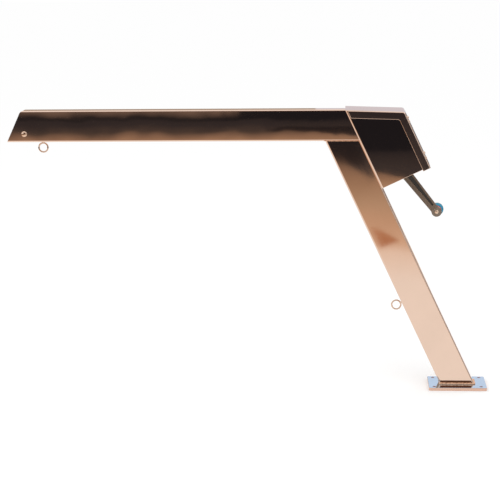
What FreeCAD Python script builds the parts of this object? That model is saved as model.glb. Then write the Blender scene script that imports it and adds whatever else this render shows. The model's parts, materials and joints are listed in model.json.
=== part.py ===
import FreeCAD, Part
import math
import os
import re
import Sketcher

# Stern davit: a leaning box-section post on a deck plate, a level box-section arm with a sheave in
# its tip, and a hand winch in a sheet case behind the joint of the two. Millimetres, +Z up, +X from
# the tip towards the winch, +Y away from the plain side, origin in the deck plate's underside.

SIZES = [
    ("lean_angle", 25, "degrees the post leans from upright"),
    ("tube_height", 100, "long side of the box section"),
    ("tube_width", 50, "short side of the box section"),
    ("tube_wall", 3, "wall of the box section"),
    ("tube_corner", 5, "outer corner radius of the box section"),
    ("arm_underside", 800, "deck to the arm's underside"),
    ("reach", 1440, "plate centre to the arm's lower tip corner"),
    ("tip_angle", 25, "degrees the tip is cut back from upright"),
    ("tip_corner", 15, "radius of the tip's upper corner"),
    ("plate_length", 185, "deck plate along X"),
    ("plate_depth", 140, "deck plate along Y"),
    ("plate_thickness", 10, "deck plate"),
    ("plate_corner", 6, "deck plate corner radius"),
    ("plate_edge", 1, "eased upper edge of the deck plate"),
    ("hole_spacing_x", 150, "deck bolt holes along X"),
    ("hole_spacing_y", 110, "deck bolt holes along Y"),
    ("hole_radius", 5.25, "deck bolt holes"),
    ("weld_leg", 8, "fillet weld round the foot, out over the plate"),
    ("weld_height", 14, "fillet weld round the foot, up the post"),
    ("seam_leg", 4, "height of the seam between arm and post"),
    ("seam_proud", 0.6, "how far the seam stands proud"),
    ("ring_radius", 14.5, "lashing ring, to the middle of the wire"),
    ("ring_wire", 2.5, "lashing ring wire radius"),
    ("ring_standoff", 20, "ring centre from the tube's face"),
    ("arm_ring_from_tip", 112, "arm ring back from the lower tip corner"),
    ("post_ring_height", 267, "post ring above the deck"),
    ("sheave_from_tip", 56, "sheave pin back from the lower tip corner"),
    ("sheave_height", 26, "sheave pin above the arm's underside"),
    ("sheave_radius", 21, "sheave rim"),
    ("sheave_width", 14, "sheave"),
    ("groove_radius", 4.5, "sheave groove"),
    ("sheave_bush_wall", 2, "sheave bush"),
    ("sheave_pin", 5, "sheave pin radius"),
    ("pin_head", 9, "sheave pin domed head radius"),
    ("pin_dome", 4, "sheave pin domed head height"),
    ("slot_length", 64, "line slot under the sheave"),
    ("slot_width", 16, "line slot under the sheave"),
    ("case_drop", 145, "case's lower edge below the arm's underside, at the post"),
    ("case_width", 140, "case across the side panels"),
    ("case_depth", 165, "case and cover, square off the post"),
    ("sheet_wall", 2, "sheet of the case and cover"),
    ("bend_radius", 5, "outer bend radius of the case"),
    ("case_return", 14, "inward return along the side panels"),
    ("window_margin", 5, "line window inside the arm's bore"),
    ("window_width", 40, "line window"),
    ("cover_rise", 2, "cover's top above the arm's, at the post"),
    ("cover_fall", 6, "how much the cover's top falls outwards"),
    ("cover_lip", 25, "lip of the cover over the side panels"),
    ("cover_corner", 10, "cover's bend between top and outer face"),
    ("cover_bend", 4, "cover's bend to its lips"),
    ("cover_overhang", 5, "cover below the side panels"),
    ("cover_gap", 0.3, "between cover and case"),
    ("screw_radius", 2.5, "cover screws"),
    ("screw_head", 5, "cover screw head radius"),
    ("screw_head_height", 2.8, "cover screw head"),
    ("screw_inset", 30, "cover screws from the ends of the outer face"),
    ("shaft_from_post", 70, "winch shafts, square off the post"),
    ("input_height", 44, "input shaft above the case's lower edge"),
    ("tooth_module", 2, "gear pair"),
    ("pinion_teeth", 15, "pinion on the input shaft"),
    ("gear_teeth", 60, "gear on the drum"),
    ("gear_width", 7, "drum gear"),
    ("backlash", 0.3, "gear pair, at the pitch circles"),
    ("frame_plate", 4, "winch frame"),
    ("frame_low", 4, "winch frame's lower edge"),
    ("frame_corner", 10, "rounded corners of the winch frame's cheeks"),
    ("cheek_reach", 64, "cheeks beyond the shafts, square off the post"),
    ("cheek_end", 18, "height of the cheeks' outer end"),
    ("pawl_rim", 12, "cheeks round the pawl pin"),
    ("axle_rim", 28, "cheeks above the drum axle"),
    ("roller_rim", 14, "cheeks round the roller pin"),
    ("back_above_drum", 32, "winch frame's back above the drum axle"),
    ("shaft_radius", 8, "input shaft and drum axle"),
    ("running_gap", 0.05, "shafts in their bushes"),
    ("bush_wall", 3, "shaft bushes"),
    ("bush_flange", 1.5, "shaft bush flange"),
    ("hub_clear", 6.5, "between the hub's flange and the collar in the side panel"),
    ("drum_radius", 25, "drum barrel"),
    ("drum_flange_radius", 56, "drum flanges"),
    ("drum_flange", 3, "drum flanges"),
    ("drum_side_gap", 1.5, "drum to the frame's cheeks"),
    ("rivet_radius", 3, "rivets through gear and flange"),
    ("rivet_circle", 42, "radius of the rivet circle"),
    ("roller_radius", 7, "line roller at the window"),
    ("roller_above_drum", 49, "line roller above the drum axle, along the post"),
    ("roller_from_post", 14, "line roller, square off the post"),
    ("roller_pin", 4, "line roller pin radius"),
    ("tie_radius", 4, "tie bolts between the cheeks"),
    ("tie_sleeve", 6, "spacer sleeves on the tie bolts"),
    ("frame_bolt", 4, "bolts of the winch frame"),
    ("bolt_head_height", 4.5, "bolts of the winch frame"),
    ("bolt_near", 14, "frame bolts towards the plain side"),
    ("bolt_far", 16, "frame bolts towards the crank"),
    ("bolt_low", 22, "lower frame bolts above the case's lower edge"),
    ("bolt_high", 140, "upper frame bolts above the case's lower edge"),
    ("ratchet_radius", 26, "ratchet wheel"),
    ("ratchet_depth", 6, "ratchet tooth depth"),
    ("ratchet_teeth", 12, "ratchet wheel"),
    ("ratchet_width", 6, "ratchet wheel"),
    ("disc_wall", 2, "brake discs"),
    ("disc_radius", 19, "brake discs"),
    ("disc_gap", 0.25, "brake discs to the ratchet wheel"),
    ("brake_flange", 4, "flanges that press the brake discs"),
    ("pawl_pin", 5, "pawl pin radius"),
    ("pawl_drop", 2.7, "pawl pin below the ratchet wheel"),
    ("pawl_eye", 2.8, "pawl round its pin"),
    ("spring_wire", 0.6, "wire of the pawl spring"),
    ("spring_gap", 0.2, "between the pawl spring and its pin"),
    ("hub_radius", 12, "crank hub sleeve"),
    ("crank_length", 215, "input shaft to grip pin"),
    ("crank_angle", 51.3, "degrees the stowed crank hangs below level"),
    ("crank_clear", 9, "between the case's side panel and the crank arm"),
    ("crank_thickness", 10, "crank arm"),
    ("crank_boss", 21, "crank arm's boss at the shaft"),
    ("crank_eye", 16.5, "crank arm's eye at the grip"),
    ("crank_root_width", 37, "crank arm beside the boss"),
    ("crank_end_width", 26, "crank arm beside the eye"),
    ("crank_recess", 3, "recess along the crank arm"),
    ("crank_rim_wide", 14, "crank arm under the recess"),
    ("crank_rim_narrow", 6, "crank arm over the recess"),
    ("grip_length", 101, "crank grip with its sleeve"),
    ("grip_sleeve", 50, "sleeve of the grip beside the arm"),
    ("grip_sleeve_radius", 15.5, "sleeve of the grip"),
    ("grip_radius", 18, "knob of the grip beside its sleeve"),
    ("grip_end", 21, "knob of the grip at its far end"),
    ("grip_pin", 5, "grip pin radius"),
    ("grip_gap", 0.3, "between grip and arm"),
    ("grip_splay", 6, "degrees the grip pin leans outwards"),
]
NAMES = {name for name, number, meaning in SIZES}

doc = FreeCAD.newDocument("davit")
sizes = doc.addObject("Spreadsheet::Sheet", "sizes")
for row, (name, number, meaning) in enumerate(SIZES, start=1):
    sizes.set(f"A{row}", name)
    sizes.set(f"B{row}", str(number))
    sizes.set(f"C{row}", meaning)
    sizes.setAlias(f"B{row}", name)
doc.recompute()

NODES = {}


def bound(text):
    """Point every size name in an expression at the sheet."""
    return re.sub(r"[a-z_]+", lambda word: "sizes." + word.group() if word.group() in NAMES
                  else word.group(), str(text))


def value(text):
    result = sizes.evalExpression(bound(text))
    return float(getattr(result, "Value", result))


def bind(item, **expressions):
    for name, text in expressions.items():
        item.setExpression(name.replace("__", "."), bound(text))


def node(label, item):
    """Name a finished sub-part: its label is its file's name."""
    item.Label = label
    NODES[label] = item
    return item


def new_body(label, place=None):
    body = doc.addObject("PartDesign::Body", label)
    if place:
        bind(body, Placement=place)
    return body


def plane_of(body, role):
    return next(item for item in body.Origin.OriginFeatures if item.Role == role)


def new_sketch(body, role, offset=None):
    sketch = body.newObject("Sketcher::SketchObject", body.Name + "_sketch")
    sketch.AttachmentSupport = [(plane_of(body, role), "")]
    sketch.MapMode = "FlatFace"
    if offset is not None:
        bind(sketch, AttachmentOffset__Base__z=offset)
    return sketch


def fix_point(sketch, geometry, point, across, up):
    for kind, text in (("DistanceX", across), ("DistanceY", up)):
        number = sketch.addConstraint(
            Sketcher.Constraint(kind, -1, 1, geometry, point, value(text)))
        sketch.setExpression(f"Constraints[{number}]", bound(text))


def draw_polygon(sketch, corners):
    """A closed outline through corners, each given as two expressions."""
    points = [FreeCAD.Vector(value(across), value(up), 0) for across, up in corners]
    count = len(points)
    first = sketch.GeometryCount
    for index in range(count):
        sketch.addGeometry(Part.LineSegment(points[index], points[(index + 1) % count]))
    for index in range(count):
        sketch.addConstraint(Sketcher.Constraint(
            "Coincident", first + index, 2, first + (index + 1) % count, 1))
    for index, (across, up) in enumerate(corners):
        fix_point(sketch, first + index, 1, across, up)


def draw_circle(sketch, across, up, radius):
    centre = FreeCAD.Vector(value(across), value(up), 0)
    circle = sketch.addGeometry(Part.Circle(centre, FreeCAD.Vector(0, 0, 1), value(radius)))
    fix_point(sketch, circle, 3, across, up)
    number = sketch.addConstraint(Sketcher.Constraint("Radius", circle, value(radius)))
    sketch.setExpression(f"Constraints[{number}]", bound(radius))


def add_pad(body, sketch, length, both=False):
    """Grow along +Y from the sketch, or half to each side."""
    pad = body.newObject("PartDesign::Pad", body.Name + "_pad")
    pad.Profile = sketch
    pad.SideType = 2 if both else 0
    pad.Reversed = not both
    bind(pad, Length=length)
    return pad


def add_pocket(body, sketch, length, both=False):
    """Cut along +Y from the sketch, or half to each side."""
    pocket = body.newObject("PartDesign::Pocket", body.Name + "_pocket")
    pocket.Profile = sketch
    pocket.SideType = 2 if both else 0
    bind(pocket, Length=length)
    return pocket


def slab(label, place, low, high, corners):
    """A plate cut to an outline in the XZ plane, from y = low to y = high."""
    body = new_body(label, place)
    sketch = new_sketch(body, "XZ_Plane", f"-({low})")
    draw_polygon(sketch, corners)
    add_pad(body, sketch, f"({high}) - ({low})")
    return body


def cut_slab(body, low, high, corners):
    sketch = new_sketch(body, "XZ_Plane", f"-({low})")
    draw_polygon(sketch, corners)
    return add_pocket(body, sketch, f"({high}) - ({low})")


def cut_hole(body, low, high, across, up, radius):
    """A round hole along Y."""
    sketch = new_sketch(body, "XZ_Plane", f"-({low})")
    draw_circle(sketch, across, up, radius)
    return add_pocket(body, sketch, f"({high}) - ({low})")


def turned(label, place, profile):
    """A part turned about Y: corners of the half profile as radius and y."""
    body = new_body(label, place)
    sketch = new_sketch(body, "XY_Plane")
    draw_polygon(sketch, profile)
    turn = body.newObject("PartDesign::Revolution", label + "_turn")
    turn.Profile = sketch
    turn.ReferenceAxis = (sketch, ["V_Axis"])
    turn.Angle = 360
    return body


def ring_profile(inner, outer, low, high):
    return [(inner, low), (outer, low), (outer, high), (inner, high)]


def round_edges(body, radius, chosen, kind="Fillet"):
    """Round or bevel the edges that the test picks on the body as it stands."""
    doc.recompute()
    base = body.Tip
    names = [f"Edge{index}" for index, edge in enumerate(base.Shape.Edges, start=1) if chosen(edge)]
    feature = body.newObject(f"PartDesign::{kind}", body.Name + "_edges")
    feature.Base = (base, names)
    bind(feature, **{"Radius" if kind == "Fillet" else "Size": radius})
    return feature


def along(edge, direction):
    """True for a straight edge that runs along a direction."""
    if edge.Curve.TypeId != "Part::GeomLine":
        return False
    return edge.Curve.Direction.cross(direction).Length < 1e-6


def middle(edge):
    return edge.valueAt((edge.FirstParameter + edge.LastParameter) / 2)


def group(label, members):
    compound = doc.addObject("Part::Compound", label)
    compound.Links = members
    return node(label, compound)


def cut_by(label, base, tool):
    cut = doc.addObject("Part::Cut", label)
    cut.Base = base
    cut.Tool = tool
    return cut


def hexagon(radius):
    """Corners of a hexagon about the local Y axis."""
    return [(f"({radius}) * {math.cos(math.radians(60 * k)):.9f}",
             f"({radius}) * {math.sin(math.radians(60 * k)):.9f}") for k in range(6)]


AXIS_X = FreeCAD.Vector(1, 0, 0)
AXIS_Y = FreeCAD.Vector(0, 1, 0)
AXIS_Z = FreeCAD.Vector(0, 0, 1)
LEAN = "(lean_angle * 1 deg)"
TIP = "(tip_angle * 1 deg)"
ARM_TOP = "(arm_underside + tube_height)"
CASE_FOOT = "(arm_underside - case_drop)"


def back_at(height):
    """X of the plane of the post's back, which also ends the arm."""
    return f"(tube_height / 2 / cos{LEAN} - (({height}) - plate_thickness) * tan{LEAN})"


def front_at(height):
    return f"(-tube_height / 2 / cos{LEAN} - (({height}) - plate_thickness) * tan{LEAN})"


def tip_at(height):
    """X of the slanted tip at a height."""
    return f"(-reach + (({height}) - arm_underside) * tan{TIP})"


def winch_place(out="0", up="0", turn="0"):
    """A placement in the winch's own frame: out is square off the post, up runs along it."""
    across = f"{back_at(CASE_FOOT)} + ({out}) * cos{LEAN} - ({up}) * sin{LEAN}"
    height = f"{CASE_FOOT} + ({out}) * sin{LEAN} + ({up}) * cos{LEAN}"
    return f"placement(vector({across}; 0; {height}); rotationy((({turn}) - lean_angle) * 1 deg))"


def level_at(height, out):
    """How far up the winch's frame a level line lies, at a distance out."""
    return f"((({height}) - {CASE_FOOT} - ({out}) * sin{LEAN}) / cos{LEAN})"


def cover_level(inset, out):
    """The same for the cover's top, which falls outwards, moved in by inset."""
    return level_at(f"({ARM_TOP} + cover_rise - cover_fall * ({out}) / case_depth - ({inset}))", out)


# Deck plate with four bolt holes
base_plate = new_body("base_plate_body")
outline = new_sketch(base_plate, "XY_Plane")
draw_polygon(outline, [("-plate_length / 2", "-plate_depth / 2"), ("plate_length / 2", "-plate_depth / 2"),
                       ("plate_length / 2", "plate_depth / 2"), ("-plate_length / 2", "plate_depth / 2")])
slab_pad = add_pad(base_plate, outline, "plate_thickness")
slab_pad.Reversed = False
round_edges(base_plate, "plate_corner", lambda edge: along(edge, AXIS_Z))
round_edges(base_plate, "plate_edge", lambda edge: middle(edge).z > value("plate_thickness") - 0.01)
holes = new_sketch(base_plate, "XY_Plane")
for side_x in (-1, 1):
    for side_y in (-1, 1):
        draw_circle(holes, f"{side_x} * hole_spacing_x / 2", f"{side_y} * hole_spacing_y / 2", "hole_radius")
add_pocket(base_plate, holes, "plate_thickness * 3", both=True)
node("base_plate", base_plate)


# Leaning post: box section, cut level at both ends
def post_corners(inset, low, high):
    """The post seen from the side, its two long faces moved in by inset."""
    step = f"({inset}) / cos{LEAN}"
    return [(f"{front_at(low)} + {step}", low), (f"{back_at(low)} - {step}", low),
            (f"{back_at(high)} - {step}", high), (f"{front_at(high)} + {step}", high)]


post = new_body("post_body")
outline = new_sketch(post, "XZ_Plane")
draw_polygon(outline, post_corners("0", "plate_thickness", "arm_underside"))
add_pad(post, outline, "tube_width", both=True)
slant = FreeCAD.Vector(-math.sin(math.radians(value("lean_angle"))), 0,
                       math.cos(math.radians(value("lean_angle"))))
round_edges(post, "tube_corner", lambda edge: along(edge, slant))
bore = new_sketch(post, "XZ_Plane")
draw_polygon(bore, post_corners("tube_wall", "plate_thickness - 5", "arm_underside + 5"))
add_pocket(post, bore, "tube_width - 2 * tube_wall", both=True)

# Level arm: box section, slanted and rounded at the tip, ending in the plane of the post's back
TURN = "((90 - tip_angle) * 1 deg / 2)"
TANGENT = f"(tip_corner * tan{TURN})"


def round_tip(body):
    """Cut away what lies outside the tip's rounded upper corner."""
    sketch = new_sketch(body, "XZ_Plane")
    corner = (tip_at(ARM_TOP), ARM_TOP)
    on_slant = (f"{corner[0]} - {TANGENT} * sin{TIP}", f"{ARM_TOP} - {TANGENT} * cos{TIP}")
    on_top = (f"{corner[0]} + {TANGENT}", ARM_TOP)
    outside = (f"{corner[0]} - tip_corner", f"{ARM_TOP} + tip_corner")
    path = [on_slant, (outside[0], on_slant[1]), outside, (on_top[0], outside[1]), on_top]
    points = [FreeCAD.Vector(value(across), value(up), 0) for across, up in path]
    for start, end in zip(points, points[1:]):
        sketch.addGeometry(Part.LineSegment(start, end))
    centre = FreeCAD.Vector(points[4].x, points[4].y - value("tip_corner"), 0)
    circle = Part.Circle(centre, FreeCAD.Vector(0, 0, 1), value("tip_corner"))
    arc = sketch.addGeometry(Part.ArcOfCircle(
        circle, math.pi / 2, math.pi - math.radians(value("tip_angle"))))
    for index in range(3):
        sketch.addConstraint(Sketcher.Constraint("Coincident", index, 2, index + 1, 1))
    sketch.addConstraint(Sketcher.Constraint("Coincident", 3, 2, arc, 1))
    sketch.addConstraint(Sketcher.Constraint("Coincident", 0, 1, arc, 2))
    for index, (across, up) in enumerate(path[:4]):
        fix_point(sketch, index, 1, across, up)
    fix_point(sketch, 3, 2, *on_top)
    number = sketch.addConstraint(Sketcher.Constraint("Radius", arc, value("tip_corner")))
    sketch.setExpression(f"Constraints[{number}]", bound("tip_corner"))
    add_pocket(body, sketch, "tube_width * 1.5", both=True)


arm = new_body("arm_body")
outline = new_sketch(arm, "XZ_Plane")
draw_polygon(outline, [(tip_at("arm_underside"), "arm_underside"),
                       (back_at("arm_underside"), "arm_underside"),
                       (back_at(ARM_TOP), ARM_TOP), (tip_at(ARM_TOP), ARM_TOP)])
add_pad(arm, outline, "tube_width", both=True)
round_edges(arm, "tube_corner", lambda edge: along(edge, AXIS_X))
bore = new_sketch(arm, "XZ_Plane")
draw_polygon(bore, [("-reach - 30", "arm_underside + tube_wall"), ("60", "arm_underside + tube_wall"),
                    ("60", f"{ARM_TOP} - tube_wall"), ("-reach - 30", f"{ARM_TOP} - tube_wall")])
add_pocket(arm, bore, "tube_width - 2 * tube_wall", both=True)
round_tip(arm)
slot = new_sketch(arm, "XY_Plane", "arm_underside")
SLOT_MIDDLE = "(-reach + sheave_from_tip - sheave_radius / 2)"
draw_polygon(slot, [(f"{SLOT_MIDDLE} - slot_length / 2", "-slot_width / 2"),
                    (f"{SLOT_MIDDLE} + slot_length / 2", "-slot_width / 2"),
                    (f"{SLOT_MIDDLE} + slot_length / 2", "slot_width / 2"),
                    (f"{SLOT_MIDDLE} - slot_length / 2", "slot_width / 2")])
add_pocket(arm, slot, "tube_wall * 2.5", both=True)
pin_sketch = new_sketch(arm, "XZ_Plane")
draw_circle(pin_sketch, "-reach + sheave_from_tip", "arm_underside + sheave_height",
            "sheave_pin + running_gap")
add_pocket(arm, pin_sketch, "tube_width * 2", both=True)
node("arm_tube", arm)

# Bent plate welded inside the tip
cap = new_body("cap_body")
CAP_LOW = "(arm_underside + tube_wall)"
CAP_HIGH = f"({ARM_TOP} - tube_wall)"
outline = new_sketch(cap, "XZ_Plane")
draw_polygon(outline, [(tip_at(CAP_LOW), CAP_LOW), (f"{tip_at(CAP_LOW)} + tip_corner", CAP_LOW),
                       (f"{tip_at(CAP_HIGH)} + tip_corner", CAP_HIGH), (tip_at(CAP_HIGH), CAP_HIGH)])
add_pad(cap, outline, "tube_width - 2 * tube_wall", both=True)
inside = new_sketch(cap, "XZ_Plane")
CAP_STEP = f"tube_wall / cos{TIP}"
CAP_INNER = f"({CAP_HIGH} - tip_corner / 3)"
draw_polygon(inside, [(f"{tip_at('(arm_underside - 20)')} + {CAP_STEP}", "arm_underside - 20"),
                      (f"{tip_at(ARM_TOP)} + tip_corner * 2", "arm_underside - 20"),
                      (f"{tip_at(ARM_TOP)} + tip_corner * 2", f"{CAP_HIGH} + 1"),
                      (f"{tip_at(CAP_HIGH)} + {CAP_STEP} * 2.5", f"{CAP_HIGH} + 1"),
                      (f"{tip_at(CAP_INNER)} + {CAP_STEP}", CAP_INNER)])
add_pocket(cap, inside, "tube_width", both=True)
round_tip(cap)
node("tip_cap", cap)

# Fillet weld round the foot of the post
foot = new_body("foot_weld_body")
outline = new_sketch(foot, "XY_Plane", "plate_thickness")
FOOT_X = f"(tube_height / 2 / cos{LEAN} + weld_leg)"
FOOT_Y = "(tube_width / 2 + weld_leg)"
draw_polygon(outline, [(f"-{FOOT_X}", f"-{FOOT_Y}"), (FOOT_X, f"-{FOOT_Y}"),
                       (FOOT_X, FOOT_Y), (f"-{FOOT_X}", FOOT_Y)])
bead = add_pad(foot, outline, "weld_height")
bead.Reversed = False
bind(bead, TaperAngle="-atan((weld_leg - 0.5) / weld_height)")
doc.recompute()
round_edges(foot, "tube_corner + 1", lambda edge: abs(edge.tangentAt(edge.FirstParameter).z) > 0.3)
foot_weld = cut_by("foot_weld", foot, None)
post_block = new_body("post_block")
outline = new_sketch(post_block, "XZ_Plane")
draw_polygon(outline, post_corners("0", "plate_thickness - 1", "arm_underside + 1"))
add_pad(post_block, outline, "tube_width", both=True)
round_edges(post_block, "tube_corner", lambda edge: along(edge, slant))
foot_weld.Tool = post_block
node("foot_weld", foot_weld)

# Seam weld between the post's head and the arm's underside, laid in the groove of the arm's corner
seam = new_body("seam_body")
SEAM_Y = "(tube_width / 2 + seam_proud)"
outline = new_sketch(seam, "XZ_Plane")
draw_polygon(outline, [(f"{front_at('arm_underside')} - seam_leg", "arm_underside - seam_leg / 2"),
                       (back_at("(arm_underside - seam_leg / 2)"), "arm_underside - seam_leg / 2"),
                       (back_at("(arm_underside + seam_leg)"), "arm_underside + seam_leg"),
                       (f"{front_at('arm_underside')} - seam_leg", "arm_underside + seam_leg")])
add_pad(seam, outline, f"2 * {SEAM_Y}", both=True)
core = new_sketch(seam, "XZ_Plane")
draw_polygon(core, [(f"{front_at('arm_underside')} + tube_wall", "arm_underside - 20"),
                    ("0", "arm_underside - 20"), ("0", "arm_underside + 20"),
                    (f"{front_at('arm_underside')} + tube_wall", "arm_underside + 20")])
add_pocket(seam, core, "tube_width - tube_corner * 2", both=True)
arm_block = new_body("arm_block")
outline = new_sketch(arm_block, "XZ_Plane")
draw_polygon(outline, [("-reach", "arm_underside"), ("0", "arm_underside"),
                       ("0", ARM_TOP), ("-reach", ARM_TOP)])
add_pad(arm_block, outline, "tube_width", both=True)
round_edges(arm_block, "tube_corner", lambda edge: along(edge, AXIS_X))
arm_weld = cut_by("arm_weld", cut_by("seam_off_arm", seam, arm_block), post_block)
node("arm_weld", arm_weld)


def ring_eye(label, across, height, turn):
    """A lashing ring in the XZ plane with its weld nub, which points up along the local Z axis."""
    place = f"placement(vector({across}; 0; {height}); rotationy(({turn}) * 1 deg))"
    ring = doc.addObject("Part::Torus", label + "_wire")
    bind(ring, Radius1="ring_radius", Radius2="ring_wire",
         Placement=place + " * placement(vector(0; 0; 0); rotationx(90 deg))")
    nub = doc.addObject("Part::Cone", label + "_nub")
    bind(nub, Radius1="ring_wire", Radius2="ring_wire * 2", Height="ring_standoff - ring_radius",
         Placement=place + " * placement(vector(0; 0; ring_radius); rotationx(0 deg))")
    fused = doc.addObject("Part::Fuse", label)
    fused.Base = ring
    fused.Tool = nub
    return node(label, fused)


# Lashing rings: bent wire, welded under the arm and on the front of the post
ring_eye("arm_ring", "-reach + arm_ring_from_tip", "arm_underside - ring_standoff", "0")
ring_eye("post_ring", f"{front_at('post_ring_height')} - ring_standoff / cos{LEAN}", "post_ring_height",
         "90 - lean_angle")

# Sheave in the tip, on a domed pin through the arm's side walls
SHEAVE = "placement(vector(-reach + sheave_from_tip; 0; arm_underside + sheave_height); rotationy(0 deg))"
SIDE = "(tube_width / 2)"
SHEAVE_BORE = "sheave_pin + running_gap + sheave_bush_wall"
sheave = turned("sheave_body", SHEAVE, [
    (SHEAVE_BORE, "-sheave_width / 2"), ("sheave_radius", "-sheave_width / 2"),
    ("sheave_radius", "-sheave_width / 2 + 1.5"), ("sheave_radius - groove_radius", "-groove_radius / 2"),
    ("sheave_radius - groove_radius", "groove_radius / 2"), ("sheave_radius", "sheave_width / 2 - 1.5"),
    ("sheave_radius", "sheave_width / 2"), (SHEAVE_BORE, "sheave_width / 2")])
node("sheave", sheave)
node("sheave_bush", turned("sheave_bush_body", SHEAVE, ring_profile(
    "sheave_pin + running_gap", SHEAVE_BORE,
    "-sheave_width / 2 - 0.5", "sheave_width / 2 + 0.5")))
group("sheave_spacers", [turned(f"sheave_spacer_{number}", SHEAVE, ring_profile(
    "sheave_pin + running_gap", "sheave_pin + 3", low, high)) for number, (low, high) in enumerate([
        ("-tube_width / 2 + tube_wall", "-sheave_width / 2 - 0.8"),
        ("sheave_width / 2 + 0.8", "tube_width / 2 - tube_wall")], start=1)])


def domed(label, place, radius, head, dome, near, far):
    """A pin along +Y whose domed head sits against y = near."""
    return turned(label, place, [
        ("0", f"{near} - {dome}"), (f"{head} * 0.5", f"{near} - {dome} * 0.9"),
        (f"{head} * 0.86", f"{near} - {dome} * 0.55"), (head, f"{near} - {dome} * 0.15"), (head, near),
        (radius, near), (radius, far), ("0", far)])


node("sheave_pin", domed("sheave_pin_body", SHEAVE, "sheave_pin", "pin_head", "pin_dome",
                         f"-{SIDE}", f"{SIDE} + 3"))
node("sheave_nut", turned("sheave_nut_body", SHEAVE, [
    ("0", f"{SIDE} + 3"), ("sheave_pin", f"{SIDE} + 3"), ("sheave_pin", SIDE), ("pin_head", SIDE),
    ("pin_head", f"{SIDE} + 4"), ("pin_head * 0.86", f"{SIDE} + 5.5"), ("pin_head * 0.5", f"{SIDE} + 6.6"),
    ("0", f"{SIDE} + 7")]))

# Winch case: a sheet channel folded round the back of the post and arm, open above and below
CASE = winch_place()
INNER_DEPTH = "(case_depth - sheet_wall - cover_gap)"
CASE_INSET = "(sheet_wall + cover_gap)"
ABOVE_CASE = level_at(f"({ARM_TOP} + cover_rise + 60)", "0")
CASE_SIDE = "(case_width / 2)"
case = new_body("case_body", CASE)
outline = new_sketch(case, "XZ_Plane")
draw_polygon(outline, [("0", "0"), (INNER_DEPTH, "0"), (INNER_DEPTH, cover_level(CASE_INSET, INNER_DEPTH)),
                       ("0", cover_level(CASE_INSET, "0"))])
add_pad(case, outline, "case_width", both=True)
case_corner = (value(INNER_DEPTH), value(cover_level(CASE_INSET, INNER_DEPTH)))
round_edges(case, "cover_corner", lambda edge: along(edge, AXIS_Y)
            and abs(middle(edge).x - case_corner[0]) < 0.01 and abs(middle(edge).z - case_corner[1]) < 0.01)
round_edges(case, "bend_radius", lambda edge: along(edge, AXIS_Z) and middle(edge).x < 1)
hollow = new_sketch(case, "XZ_Plane")
draw_polygon(hollow, [("sheet_wall", "-10"), (f"{INNER_DEPTH} - sheet_wall", "-10"),
                      (f"{INNER_DEPTH} - sheet_wall", ABOVE_CASE),
                      ("sheet_wall", ABOVE_CASE)])
add_pocket(case, hollow, "case_width - 2 * sheet_wall", both=True)
mouth = new_sketch(case, "XZ_Plane")
draw_polygon(mouth, [(f"{INNER_DEPTH} - 2 * sheet_wall", "-10"), ("case_depth + 10", "-10"),
                     ("case_depth + 10", ABOVE_CASE),
                     (f"{INNER_DEPTH} - 2 * sheet_wall", ABOVE_CASE)])
add_pocket(case, mouth, "case_width - 2 * case_return", both=True)
WINDOW_LOW = f"({level_at('(arm_underside + tube_wall)', '0')} + window_margin)"
WINDOW_HIGH = f"({cover_level(CASE_INSET, '0')} - 2 * window_margin)"
window = new_sketch(case, "XZ_Plane")
draw_polygon(window, [("-1", WINDOW_LOW), ("sheet_wall * 2", WINDOW_LOW),
                      ("sheet_wall * 2", WINDOW_HIGH), ("-1", WINDOW_HIGH)])
add_pocket(case, window, "window_width", both=True)
cut_hole(case, "0", "case_width", "shaft_from_post", "input_height", "hub_radius + 3")

# Cover: sheet bent over the top and down the outer face, with lips outside the side panels
cover = new_body("cover_body", CASE)
COVER_WIDTH = "(case_width + 2 * cover_gap + 2 * sheet_wall)"


def cover_corners(inset, low):
    """The case seen from the side, moved in from the top and the outer face."""
    out = f"(case_depth - ({inset}))"
    return [("0", low), (out, low), (out, cover_level(inset, out)), ("0", cover_level(inset, "0"))]


outline = new_sketch(cover, "XZ_Plane")
draw_polygon(outline, cover_corners("0", "-cover_overhang"))
add_pad(cover, outline, COVER_WIDTH, both=True)


def on_outer_bend(edge):
    return (along(edge, AXIS_Y) and middle(edge).x > value("case_depth") - 1
            and middle(edge).z > value("input_height"))


def on_lip_bend(edge):
    """The bends along the top and the outer face, and the rounded corner between them."""
    if abs(abs(middle(edge).y) - value(COVER_WIDTH) / 2) > 0.01:
        return False
    return middle(edge).x > 2 and middle(edge).z > 10


round_edges(cover, "cover_corner", on_outer_bend)
round_edges(cover, "cover_bend", on_lip_bend)


def cover_tool(label, inset, width, corners):
    """A block to cut from the cover, with its outer upper corner rounded."""
    tool = new_body(label, CASE)
    sketch = new_sketch(tool, "XZ_Plane")
    draw_polygon(sketch, corners)
    add_pad(tool, sketch, width, both=True)
    out = value(f"case_depth - ({inset})")
    up = value(cover_level(inset, f"(case_depth - ({inset}))"))
    round_edges(tool, "cover_corner - sheet_wall", lambda edge: along(edge, AXIS_Y)
                and abs(middle(edge).x - out) < 0.01 and abs(middle(edge).z - up) < 0.01)
    return tool


LIP_START = "(bend_radius + 1)"
sheet_side = cover_corners("sheet_wall", "-20")
hollow = cover_tool("cover_hollow", "sheet_wall", "case_width + 2 * cover_gap", [
    ("-10", "-20"), sheet_side[1], sheet_side[2], ("-10", cover_level("sheet_wall", "-10"))])
lip_side = cover_corners("cover_lip", "-20")
lips = cover_tool("cover_between_lips", "cover_lip", "case_width * 2", [
    ("-10", "-20"), lip_side[1], lip_side[2], (LIP_START, cover_level("cover_lip", LIP_START)),
    (LIP_START, cover_level("sheet_wall", LIP_START)), ("-10", cover_level("sheet_wall", "-10"))])

# Screws through the cover's outer face into nuts on the case's returns
SCREW_SIDE = "(case_width / 2 - sheet_wall - case_return / 2)"
SCREW_TOP = cover_level("screw_inset", "case_depth")


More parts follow.
